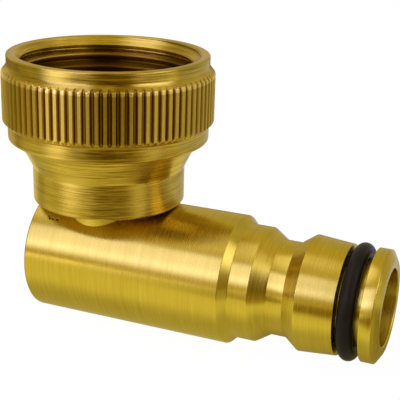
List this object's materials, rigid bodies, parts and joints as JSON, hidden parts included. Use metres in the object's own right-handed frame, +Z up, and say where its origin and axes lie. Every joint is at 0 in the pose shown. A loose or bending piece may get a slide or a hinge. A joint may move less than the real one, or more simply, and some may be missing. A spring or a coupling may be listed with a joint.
{
  "type": "elbow fitting",
  "caption": "Right-angle brass swivel fitting for a garden tap: knurled nut with an inside thread on top, turned bar below it ending in a click-in hose plug with a rubber ring.",
  "frame": {"origin": "on the swivel nut's axis, at the inner end of its thread, just above the flat washer that the tap's end seats on", "axes": "+Z up the nut's axis and out of its mouth, towards the tap; +X along the bar, out of the plug's nose"},
  "size_m": [0.0585, 0.0306, 0.0405],
  "materials": {
    "nut_brass": "turned and brushed round the axis, darker and streaky",
    "stem_brass": "turned",
    "body_brass": "fine-turned, satin",
    "washer_rubber": "moulded, matte",
    "seal_rubber": "moulded, smooth",
    "ring_rubber": "moulded, slightly glossy"
  },
  "bodies": {
    "nut": {"swivel_nut": "nut_brass", "tap_washer": "washer_rubber"},
    "elbow": {"hollow_stem": "stem_brass", "upper_stem_seal": "seal_rubber", "lower_stem_seal": "seal_rubber", "elbow_body": "body_brass", "plug_ring": "ring_rubber"}
  },
  "joints": [
    {"name": "swivel", "type": "hinge", "parent": "nut", "child": "elbow", "pos_m": [0, 0, 0], "axis": [0, 0, 1], "continuous": true}
  ]
}
